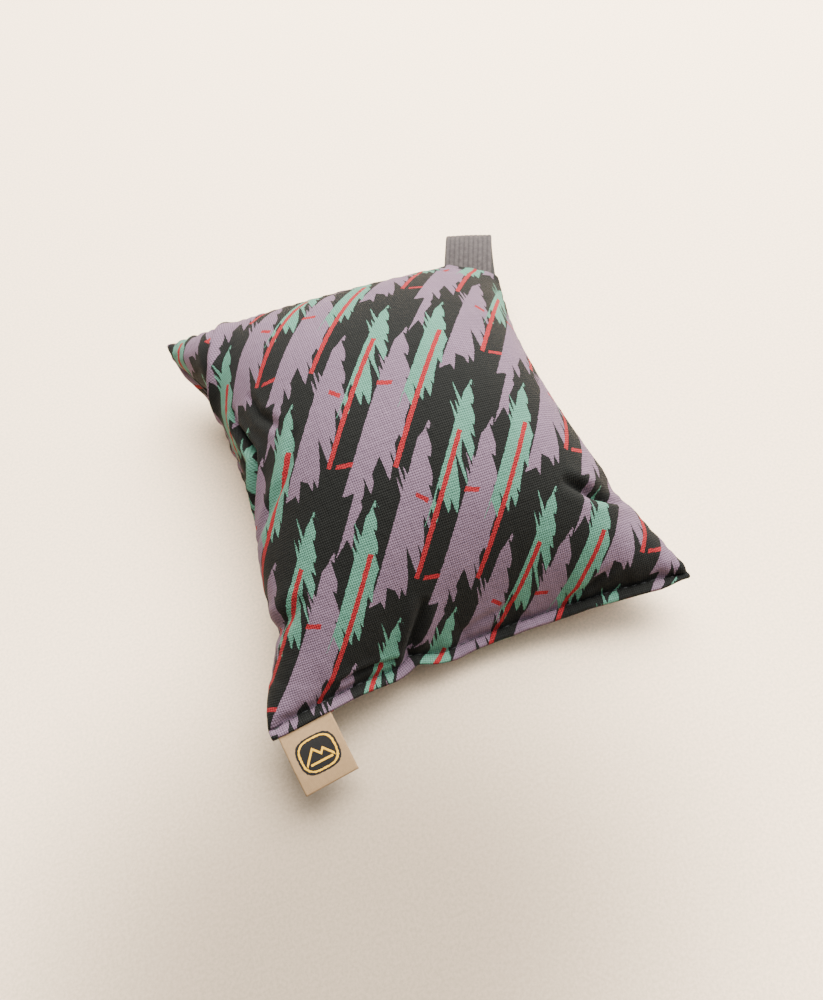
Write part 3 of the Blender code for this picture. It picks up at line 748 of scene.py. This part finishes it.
def seam_relief(side):
    """Offset along the surface normal, mm, from what the sewing does."""
    x, y = fine_flat[..., 0], fine_flat[..., 1]
    d = D_TURNED
    # the fold of a turned seam: a tight valley on the line, then a soft roll
    out = 0.75 * (1 - np.exp(-d / 0.8)) * np.exp(-np.maximum(d - 1.6, 0) / 4.5)
    # puckers, one for every few stitches, dying out in the panel
    along = np.where(D_LEFT < D_RIGHT, y, y + 40) * (np.minimum(D_LEFT, D_RIGHT) < np.minimum(D_FAR, D_CUT)) \
        + x * (np.minimum(D_LEFT, D_RIGHT) >= np.minimum(D_FAR, D_CUT))
    rip = wave_noise(along + 0.4 * d, 11 + side, (4.2, 6.5, 11.0), (0.10, 0.13, 0.16))
    out += rip * smooth(d / 2.0) * np.exp(-d / 7.0)
    rip = wave_noise(x + 0.25 * y, 23 + side, (5.0, 8.5, 15.0), (0.10, 0.16, 0.26))
    out += rip * smooth(D_NEAR / 2.0) * np.exp(-D_NEAR / 8.0)
    return out


def folds_top(f):
    """The folds of the upper panel, led by the seams and by the flattened corners."""
    out = crease(f, [(2, 105), (8, 112), (14.5, 118), (19.5, 128), (23, 139)], 5.0, 1.9, 0.05, 0.7)
    out += crease(f, [(18, 98), (16, 92.4), (18.4, 83.2), (19.9, 78.6), (18, 74.5), (12, 67), (7, 61)], 3.2, 1.15, 0.3, 0.55)
    out += crease(f, [(37, 77), (32.2, 69.5), (27.5, 64.8), (19.9, 60.1), (9, 53)], 1.3, 1.3, 0.3, 0.3)
    out += crease(f, [(26, 97), (27, 88), (33, 78)], 1.2, 1.3)
    out += crease(f, [(9, 88), (11.5, 77), (8, 69)], 1.3, 1.2)
    out += crease(f, [(130, 27), (123, 28), (117.5, 29.8), (112.5, 31.4), (108, 34.5), (103, 38)], 3.4, 1.5, 0.1, 0.25)
    out += crease(f, [(1, 27), (8, 26.5), (15, 28), (22, 32)], 1.7, 2.0, 0.5, 0.2)
    out += crease(f, [(43.5, -1), (45, 4), (48, 10), (54, 20)], 2.0, 1.4, 0.5, 0.3)
    out += crease(f, [(20, 4.4), (31, 4.8), (43, 3.4)], 1.1, 0.9, 0.5, 0.2)
    out += crease(f, [(60, 3), (68, 6), (80, 8)], 0.7, 1.2)
    out += crease(f, [(96, 2), (104, 5), (112, 10)], 0.8, 1.2)
    out += crease(f, [(100, 143), (106, 136), (110, 128)], 0.9, 1.6)
    out += bulge(f, 11, 50, 8, 17, 2.2) + bulge(f, 12, 100, 8, 9, 1.0)
    out += bulge(f, 122, 22, 6, 6, -0.8) + bulge(f, 121, 31.5, 9, 3.4, -3.2)
    return out * smooth(np.minimum(np.minimum(f[..., 0], FLAT_W - f[..., 0]), FLAT_L - f[..., 1]) / 2.5)


def side_pull(y):
    """How far the left seam is drawn in between its corners, in x."""
    return (3.8 * np.exp(-((y - 118) / 12) ** 2) + 3.3 * np.exp(-((y - 25) / 8) ** 2)
            - 1.3 * np.exp(-((y - 5) / 6) ** 2) - 0.8 * np.exp(-((y - 45) / 9) ** 2))


def hem_wave(x):
    """How the closing seam wanders where the canvas is gathered: (in y, in z)."""
    a, b = np.exp(-((x - 46) / 4.5) ** 2), np.exp(-((x - 57) / 5.5) ** 2)
    c = np.exp(-((x - 27) / 7.0) ** 2)
    return 1.7 * a - 0.5 * b + 0.3 * c, 1.3 * a - 0.4 * b + 0.5 * c


LABEL_A, LABEL_B = 1.0, 17.0


def half_gap(f_x, d_edge_cut, at_hem):
    """Half the thickness sewn in between the panels: webbing or label."""
    web = (WEB_T + 0.05) * smooth((7.0 - d_edge_cut) / 5.0)
    lab = 0.36 * smooth((LABEL_B + 2.5 - f_x) / 2.5) * at_hem
    return np.maximum(web, lab)


def panel(side, name, mat):
    X = (sack.T if side > 0 else sack.B)[:, HR:]
    P = resample(X, UP)
    N = normals(P) * side
    near_cut = near_line(fine_flat, (FLAT_W - CUT_X, FLAT_L), (FLAT_W, FLAT_L - CUT_Y))[0]
    gap = half_gap(fine_flat[..., 0], near_cut, smooth((9 - D_NEAR) / 7))
    up = np.array([0, 0, side], float)
    lift = seam_relief(side)
    if side > 0:
        lift = lift + folds_top(fine_flat)
    lift = lift * smooth(P[..., 2] / 3.0 if side < 0 else np.ones(P.shape[:2]))
    # the topstitched line: both panels are drawn down to a groove, then roll over
    groove = 0.62 - 0.34 * np.exp(-(D_NEAR / 0.55) ** 2) + 0.5 * smooth(D_NEAR / 2.2)
    near = groove * np.exp(-np.maximum(D_NEAR - 2.2, 0) / 5.0)
    P[..., 0] += side_pull(fine_flat[..., 1]) * np.exp(-D_LEFT / 9.0)
    wave_y, wave_z = hem_wave(fine_flat[..., 0])
    fade = np.exp(-D_NEAR / 6.0)
    P = P + np.stack([0 * fade, wave_y * fade, wave_z * fade], -1)
    P = P + N * lift[..., None] + up * (gap * np.exp(-np.minimum(D_NEAR, D_TURNED) / 9))[..., None] + up * near[..., None]
    if side < 0:
        P[..., 2] = np.maximum(P[..., 2], 0.02)
    # hem band outside the stitches: folded edge, two plies in each half
    base = resample(np.repeat(sack.lines[0][1][:, None], 2, 1), UP)[:, 0]
    xs = fine_flat[:, 0, 0]
    wave_y, wave_z = hem_wave(xs)
    base[:, 0] += side_pull(np.zeros_like(xs)) * np.exp(-xs / 9.0)
    base[:, 1] += wave_y
    base[:, 2] += wave_z
    tang = np.gradient(base, axis=0)
    tang /= np.linalg.norm(tang, axis=1)[:, None]
    outward = np.cross(tang, (0, 0, 1.0))
    outward /= np.linalg.norm(outward, axis=1)[:, None]
    undul = 0.30 * wave_noise(xs, 5, (9.0, 17.0, 31.0), (0.4, 0.8, 1.0)) * np.sin(np.pi * xs / FLAT_W)
    lab = half_gap(xs, np.full_like(xs, 99.0), 1.0)
    cols_o, cols_i = [], []
    wide = HEM * (1 - 0.5 * smooth((xs - 123) / 10.5) - 0.12 * smooth((4 - xs) / 4))
    for k, w in enumerate((1.0, 0.985, 0.95, 0.88, 0.75, 0.55, 0.35, 0.2, 0.1)):
        o = base + outward * (wide * w)[:, None]
        edge = (1 - w) * HEM
        h = 0.92 * np.sqrt(np.clip(1 - (1 - np.clip(edge / 0.55, 0, 1)) ** 2, 0, 1))
        crease = 0.10 * wave_noise(xs, 31 + side, (3.1, 5.3), (0.6, 0.6))
        dip = 0.30 * smooth((0.35 - w) / 0.35)
        hh = np.maximum(h + (crease if h > 0.5 else 0) - dip, 0.04)
        z = side * (0.06 + lab + hh)
        o[:, 2] += undul * w + 0.27 * w + z
        cols_o.append(o)
        i = o.copy()
        i[:, 2] = o[:, 2] - z + side * (0.03 + lab)
        cols_i.append(i)
    hem_o, hem_i = np.stack(cols_o, 1), np.stack(cols_i, 1)
    thick = 0.05 + 0.65 * smooth(np.minimum(D_TURNED, D_NEAR + 1.2) / 2.2)
    Q = P - normals(P) * side * thick[..., None]
    if side < 0:
        Q[..., 2] = np.maximum(Q[..., 2], 0.6 * smooth(np.minimum(D_TURNED, D_NEAR) / 4))
    outer = np.concatenate([hem_o, P], 1)
    inner = np.concatenate([hem_i, Q], 1)
    inner[:, 9, 2] = 0.5 * (inner[:, 8, 2] + inner[:, 10, 2])
    flat_hem = np.stack([np.stack([xs, np.full_like(xs, -HEM * w)], -1) for w in (1.0, 0.985, 0.95, 0.88, 0.75, 0.55, 0.35, 0.2, 0.1)], 1)
    flat = np.concatenate([flat_hem, fine_flat], 1)
    uv = np.concatenate([flat.reshape(-1, 2)] * 2) / 200.0
    verts, faces = shell(outer, inner, side)
    obj = make_mesh(name, verts, faces, "sack", mat, uv)
    return obj, outer


front, OUT_T = panel(1, "canvas_front", M_FRONT)
back, OUT_B = panel(-1, "canvas_back", M_BACK)
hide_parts("front_panel")
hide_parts("back_panel")

# ------------------------------------------- what is inside: pouch and filling
coarse = 4


# how far the folds sink, spread a little so that nothing inside touches them
SUNK = np.minimum(folds_top(fine_flat), 0)
for _ in range(2 * UP):
    pad = np.pad(SUNK, 1, mode="edge")
    SUNK = np.minimum.reduce([pad[1:-1, 1:-1], pad[:-2, 1:-1], pad[2:, 1:-1], pad[1:-1, :-2], pad[1:-1, 2:]])


def inner_layer(side, depth, rim):
    X = (sack.T if side > 0 else sack.B)[:, HR:]
    N = normals(X) * side
    n, m = X.shape[:2]
    a, b = max(1, round(rim / FLAT_W * (n - 1))), max(1, round(rim / FLAT_L * (m - 1)))
    f = F[:, HR:]
    P = X - N * depth
    P[..., 0] += side_pull(f[..., 1]) * np.exp(-f[..., 0] / 9.0)
    if side > 0:
        P = P + N * SUNK[::UP, ::UP][..., None]
    P, f = P[a:-a, b:-b], f[a:-a, b:-b]
    step = 2
    return P[::step, ::step], f[::step, ::step]


def inner_piece(name, top, bottom, f, mat, node):
    top, bottom = top.copy(), bottom.copy()
    # the rims come together with a small gap
    mid = 0.5 * (top + bottom)
    for e in ((0, slice(None)), (-1, slice(None)), (slice(None), 0), (slice(None), -1)):
        top[e] = mid[e] + (0, 0, 0.15)
        bottom[e] = mid[e] - (0, 0, 0.15)
    verts, faces = shell(top, bottom, 1)
    uv = np.concatenate([f.reshape(-1, 2)] * 2) / 200.0
    o = make_mesh(name, verts, faces, "sack", mat, uv)
    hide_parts(node)
    return o


rim = 7.0
t1, f1 = inner_layer(1, 1.6, rim)
t2, _ = inner_layer(1, 1.9, rim)
b1, _ = inner_layer(-1, 1.2, rim)
b2, _ = inner_layer(-1, 1.5, rim)
t3, f3 = inner_layer(1, 2.4, rim)
b3, _ = inner_layer(-1, 2.0, rim)
for side, o, i, name, node in ((1, t1, t2, "pouch_ply_front", "pouch_front"), (-1, b1, b2, "pouch_ply_back", "pouch_back")):
    verts, faces = shell(o, i, side)
    uv = np.concatenate([f1.reshape(-1, 2)] * 2) / 200.0
    ply = make_mesh(name, verts, faces, "sack", M_POUCH, uv)
    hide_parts(node)
fill = inner_piece("granule_fill", t3, b3, f3, M_FILL, "filling")

# ------------------------------------------------------------------- threads
def tube(points, radius, sides=6, squash=1.0, up=(0, 0, 1)):
    p = np.array(points)
    t = np.gradient(p, axis=0)
    t /= np.linalg.norm(t, axis=1)[:, None] + 1e-9
    a = np.cross(t, up)
    a /= np.linalg.norm(a, axis=1)[:, None] + 1e-9
    b = np.cross(a, t)
    r = radius * np.ones(len(p)) if np.ndim(radius) == 0 else radius
    ang = np.linspace(0, 2 * np.pi, sides, endpoint=False)
    ring = p[:, None] + r[:, None, None] * (a[:, None] * np.cos(ang)[None, :, None] + squash * b[:, None] * np.sin(ang)[None, :, None])
    n = len(p)
    faces = []
    for i in range(n - 1):
        for k in range(sides):
            m = (k + 1) % sides
            faces.append((i * sides + k, (i + 1) * sides + k, (i + 1) * sides + m, i * sides + m))
    faces.append(tuple(range(sides)))
    faces.append(tuple((n - 1) * sides + k for k in range(sides))[::-1])
    d = np.r_[0, np.cumsum(np.linalg.norm(np.diff(p, axis=0), axis=1))]
    uv = np.stack(np.broadcast_arrays(ang[None] / (2 * np.pi) / 100, d[:, None] / 200), -1).reshape(-1, 2)
    return ring.reshape(-1, 3), faces, uv


def join(parts):
    verts, faces, uvs, base = [], [], [], 0
    for v, f, u in parts:
        verts.append(v)
        uvs.append(u)
        faces += [tuple(int(i) + base for i in q) for q in f]
        base += len(v)
    return np.concatenate(verts), faces, np.concatenate(uvs)


def stitches(outer, side, pitch=2.9, length=2.35):
    """Separate stitches in the groove of the closing seam, sunk at both ends."""
    row = outer[:, 9]                         # on the seam line
    d = np.r_[0, np.cumsum(np.linalg.norm(np.diff(row, axis=0), axis=1))]
    parts = []
    s = 1.6
    r = np.random.default_rng(3 + side)
    while s + length < d[-1] - 1.5:
        t = np.linspace(0, 1, 9)
        q = s + t * length
        p = np.stack([np.interp(q, d, row[:, k]) for k in range(3)], -1)
        p[:, 1] += 0.08 * r.standard_normal()
        arc = np.sin(np.pi * t) ** 0.6
        p[:, 2] += side * (-0.30 + 0.46 * arc)
        rad = 0.23 * (0.75 + 0.25 * arc)
        parts.append(tube(p, rad, 8))
        s += pitch * r.uniform(0.97, 1.03)
    return join(parts)


for side, outer, name, node in ((1, OUT_T, "stitches_top", "closing_needle_thread"), (-1, OUT_B, "stitches_under", "closing_bobbin_thread")):
    v, f, u = stitches(outer, side)
    o = make_mesh(name, v, f, "sack", M_THREAD, u)
    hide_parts(node)

# the hidden thread of the turned seams, just inside the fold
mid = 0.5 * (sack.T + sack.B)
mid[..., 0] += side_pull(F[..., 1]) * np.exp(-F[..., 0] / 9.0)
a = 3
track = np.concatenate([mid[a, HR + a:-a], mid[a:-a, -a - 1], mid[-a - 1, HR + a:-a][::-1]], 0)
keep = [0]
for k in range(1, len(track)):
    if np.linalg.norm(track[k] - track[keep[-1]]) > 1.0:
        keep.append(k)
v, f, u = tube(track[keep], 0.25, 6)
o = make_mesh("turned_seam_stitching", v, f, "sack", M_THREAD, u)
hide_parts("turned_seam_thread")

# ---------------------------------------------------------------- the hang loop
web_a, web_b = np.array(P_LOOP_L), np.array(P_LOOP_R)
along = (web_b - web_a) / np.linalg.norm(web_b - web_a)
out = np.cross((0, 0, 1.0), along)
out *= np.sign(out[1])
strip = out * math.cos(LEAN) - along * math.sin(LEAN)
wdir = along * math.cos(LEAN) + out * math.sin(LEAN)
web_mid = 0.5 * (web_a + web_b)
REACH = 21.6


def loop_path(n):
    """Side view of the folded strip: (l, z) from one sewn end round to the other."""
    tails = [(-6.0, 0.62), (-4.5, 0.62), (-3.0, 0.62), (-1.5, 0.63), (0.0, 0.66), (1.5, 0.75)]
    a = np.linspace(0.42, 2 * np.pi - 0.42, n)
    s = np.sin(a) * np.abs(np.sin(a / 2))
    c = np.stack([(1 - np.cos(a)) / 2, s], -1)
    l = 1.0 + (REACH - 1.0 - 0.6) * c[:, 0] ** 0.97
    z = 0.5 * 1.25 * np.cos(a / 2) ** 2 * np.sign(np.sin(a) + 1e-9) + 2.95 * c[:, 1]
    body = np.stack([l, z], -1)
    body = body[(body[:, 0] > 2.4)]
    low = [(p, -q) for p, q in tails][::-1]
    return np.array(tails + body.tolist() + low)


path = loop_path(90)
d = np.r_[0, np.cumsum(np.linalg.norm(np.diff(path, axis=0), axis=1))]
q = np.linspace(0, d[-1], 170)
path = np.stack([np.interp(q, d, path[:, k]) for k in (0, 1)], -1)
for _ in range(10):
    path[1:-1] = 0.25 * path[:-2] + 0.5 * path[1:-1] + 0.25 * path[2:]
tan = np.gradient(path, axis=0)
tan /= np.linalg.norm(tan, axis=1)[:, None]
nor = np.stack([-tan[:, 1], tan[:, 0]], -1)        # outwards on the top ply
NW = 121
LOOK_W = WEB_W - 1.0                                # leaves room for the under ply to show beside
w = np.linspace(-LOOK_W / 2, LOOK_W / 2, NW)
ribs = 0.15 * (np.abs(np.sin(np.pi * (w + LOOK_W / 2) * 10 / LOOK_W)) ** 0.7) - 0.09
edge_round = 0.5 * WEB_T * np.sqrt(np.clip(1 - np.clip((np.abs(w) - (LOOK_W / 2 - 0.5)) / 0.5, 0, 1) ** 2, 0.02, 1))
half_t = edge_round + ribs * (np.abs(w) < LOOK_W / 2 - 0.4)
frac = q / d[-1]
skew = -1.85 + 2.35 * frac          # the fold is not quite square
droop = -0.35 * np.clip(path[:, 0] / REACH, 0, 1) ** 2


def web_point(k, off):
    """Row of points across the strip at path station k, `off` mm off its middle."""
    l0 = -w * math.tan(LEAN)
    ratio = np.clip((path[k, 0] + nor[k, 0] * off) / REACH, None, 1.06)
    reach = REACH - 0.25 + 0.035 * w
    l = np.where(ratio > 0, l0 + ratio * (reach - l0), l0 + ratio * reach)
    z = path[k, 1] + nor[k, 1] * off + droop[k]
    wave = 0.12 * np.sin(w / 3.1 + 0.7 + 2.0 * frac[k]) * smooth(path[k, 0] / 8)
    return (web_mid + wdir * (w + skew[k])[:, None] + strip * l[:, None]) + np.array([0, 0, 1.0]) * (z + wave)[:, None]


n_p = len(path)
outer_w = np.stack([web_point(k, half_t) for k in range(n_p)], 0)
inner_w = np.stack([web_point(k, -half_t) for k in range(n_p)], 0)
verts, faces = shell(outer_w, inner_w, 1)
uv_w = np.stack(np.broadcast_arrays((w[None] / LOOK_W + 0.5) * 19.0, q[:, None]), -1).reshape(-1, 2) / 200.0
loop = make_mesh("webbing_loop", verts, faces, None, M_WEB, np.concatenate([uv_w, uv_w + (0.0, 0.5)]))
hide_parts("hang_loop", "hang_loop_tails")
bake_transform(loop)

tack = web_mid - out * 4.6
pts = np.array([tack + along * s + (0, 0, 1.32) for s in np.linspace(-7, 7, 40)])
v, f, u = tube(pts, 0.22, 6)
o = make_mesh("loop_tack_stitching", v, f, "sack", M_THREAD, u)
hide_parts("loop_tack_thread")

# --------------------------------------------------------------- the side label
seam_row = sack.lines[0][1]
fx = F[:, HR, 0]
la, lb = (np.array([np.interp(x, fx, seam_row[:, k]) for k in range(3)]) for x in (LABEL_A, LABEL_B))
l_along = (lb - la) / np.linalg.norm(lb - la)
l_out = np.cross(l_along, (0, 0, 1.0))
l_out /= np.linalg.norm(l_out)
l_mid = 0.5 * (la + lb) + l_out * HEM + np.array([0, 0, 0.27])
n_l, n_w = 60, 33
L_FREE, L_WIDE = 16.4, 16.0
ww = np.linspace(-L_WIDE / 2, L_WIDE / 2, n_w)
run = np.concatenate([np.linspace(-6.0, 0, 10)[:-1], np.linspace(0, L_FREE - 0.35, 30)])
path_l, uv_run = [], []
for s_ in run:
    path_l.append((s_, 0.19)); uv_run.append(s_)
for g in np.linspace(0, np.pi, 9)[1:-1]:
    path_l.append((L_FREE - 0.35 + 0.35 * math.sin(g), 0.19 * math.cos(g))); uv_run.append(L_FREE - 0.35 + 0.1 * math.sin(g))
for s_ in run[::-1]:
    path_l.append((s_, -0.19)); uv_run.append(s_)
path_l, uv_run = np.array(path_l), np.array(uv_run)
tl = np.gradient(path_l, axis=0)
tl /= np.linalg.norm(tl, axis=1)[:, None]
nl = np.stack([-tl[:, 1], tl[:, 0]], -1)


def label_point(k, off):
    s_, h = path_l[k] + nl[k] * off
    t_ = max(s_, 0.0)
    drop = -math.tan(math.radians(10)) * t_ - 0.010 * t_ ** 2 + 0.0 * ww
    bow = 0.30 * (1 - (ww / (L_WIDE / 2)) ** 2) * smooth(t_ / 6) + 0.10 * np.sin(ww / 2.6 + s_ / 4) * smooth(t_ / 6)
    # the free edge sags a little more at one corner
    tilt = -0.035 * ww * smooth(t_ / 10)
    side_in = 0.0
    return (l_mid + l_along * (ww + side_in)[:, None] + l_out * s_ * math.cos(math.radians(9))
            + np.array([0, 0, 1.0]) * (h + drop + bow + tilt)[:, None])


outer_l = np.stack([label_point(k, 0.15) for k in range(len(path_l))], 0)
inner_l = np.stack([label_point(k, -0.15) for k in range(len(path_l))], 0)
verts, faces = shell(outer_l, inner_l, 1)
uv_l = np.stack(np.broadcast_arrays(ww[None], uv_run[:, None]), -1).reshape(-1, 2) / 200.0
label = make_mesh("ribbon_label", verts, faces, None, M_LABEL, np.concatenate([uv_l, uv_l]))
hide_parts("side_label", "side_label_tails")
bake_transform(label)

# ------------------------------------------------------------ camera and light
ROT = np.array([[0.9370745, -0.34639317, -0.0436252],
                [-0.3217623, -0.80835559, -0.492981],
                [0.13550058, 0.47599687, -0.86894567]])
EYE = np.array([0.0298452, -0.05941629, 0.2242178]) + SHIFT * MM
cam_data = bpy.data.cameras.new("camera")
cam = bpy.data.objects.new("camera", cam_data)
bpy.context.scene.collection.objects.link(cam)
m = Matrix(((ROT[0][0], -ROT[1][0], -ROT[2][0], EYE[0]),
            (ROT[0][1], -ROT[1][1], -ROT[2][1], EYE[1]),
            (ROT[0][2], -ROT[1][2], -ROT[2][2], EYE[2]),
            (0, 0, 0, 1)))
cam.matrix_world = m
cam_data.sensor_width = 36
cam_data.lens = 734.5 * 36 / 1000
cam_data.clip_start = 0.01
bpy.context.scene.camera = cam

floor_mesh = bpy.data.meshes.new("floor")
floor_mesh.from_pydata([(-4, -4, 0), (4, -4, 0), (4, 4, 0), (-4, 4, 0)], [], [(0, 1, 2, 3)])
floor = bpy.data.objects.new("floor", floor_mesh)
bpy.context.scene.collection.objects.link(floor)
N = Nodes("pale_floor")
geo = N.new("ShaderNodeNewGeometry")
grain = N.noise(geo.outputs["Position"], 1100.0, 3.0, 0.75)
col = N.mix(N.ramp(grain, 0.38, 0.62), (0.82, 0.650, 0.455, 1), (0.99, 0.775, 0.55, 1))
# painted shadow: the floor's colour is darkened in a broad soft patch towards the near edge, in front of the object
away = N.new("ShaderNodeVectorMath", operation="MULTIPLY_ADD")
N.link(geo.outputs["Position"], away.inputs[0])
away.inputs[1].default_value = (7.0, 9.0, 0.0)
away.inputs[2].default_value = (0.45, 1.16, 0.0)
far = N.new("ShaderNodeVectorMath", operation="LENGTH")
N.link(away.outputs[0], far.inputs[0])
floor_with_painted_shadow = N.new("ShaderNodeVectorMath", operation="SCALE")
N.link(col, floor_with_painted_shadow.inputs[0])
painted_shadow_falloff = N.new("ShaderNodeMapRange", interpolation_type="SMOOTHERSTEP")
N.link(far.outputs["Value"], painted_shadow_falloff.inputs[0])
for k, v in ((1, 0.10), (2, 1.15), (3, 0.33), (4, 1.0)):
    painted_shadow_falloff.inputs[k].default_value = v
N.link(painted_shadow_falloff.outputs[0], floor_with_painted_shadow.inputs["Scale"])
N.link(floor_with_painted_shadow.outputs[0], N.bsdf.inputs["Base Color"])
N.bsdf.inputs["Roughness"].default_value = 0.9
N.bsdf.inputs["Specular IOR Level"].default_value = 0.1
floor_mesh.materials.append(N.mat)


def area(name, loc, target, size, power, color):
    data = bpy.data.lights.new(name, "AREA")
    data.shape = "RECTANGLE"
    data.size, data.size_y = size
    data.energy = power
    data.color = color
    o = bpy.data.objects.new(name, data)
    bpy.context.scene.collection.objects.link(o)
    o.location = loc
    o.rotation_euler = (Vector(target) - Vector(loc)).to_track_quat("-Z", "Y").to_euler()
    return o


area("sky_panel", (0.36, 0.56, 0.92), (0, 0.0, 0), (1.3, 0.9), 90.0, (1.0, 0.97, 0.93))
area("side_fill", (0.95, 0.10, 0.70), (0, 0, 0), (1.0, 1.0), 19.0, (0.97, 0.98, 1.0))
world = bpy.data.worlds.new("world")
bpy.context.scene.world = world
world.use_nodes = True
background = world.node_tree.nodes["Background"]
background.inputs[0].default_value = (0.98, 0.98, 1.0, 1)
# the studio is lighter behind the object and to its right than in front of it
way = world.node_tree.nodes.new("ShaderNodeTexCoord")
lean = world.node_tree.nodes.new("ShaderNodeVectorMath")
lean.operation = "DOT_PRODUCT"
lean.inputs[1].default_value = (0.66, 0.46, 0.60)
glow = world.node_tree.nodes.new("ShaderNodeMapRange")
for k, v in ((1, -0.6), (2, 1.0), (3, 0.34), (4, 0.74)):
    glow.inputs[k].default_value = v
world.node_tree.links.new(way.outputs["Generated"], lean.inputs[0])
world.node_tree.links.new(lean.outputs["Value"], glow.inputs[0])
world.node_tree.links.new(glow.outputs[0], background.inputs[1])
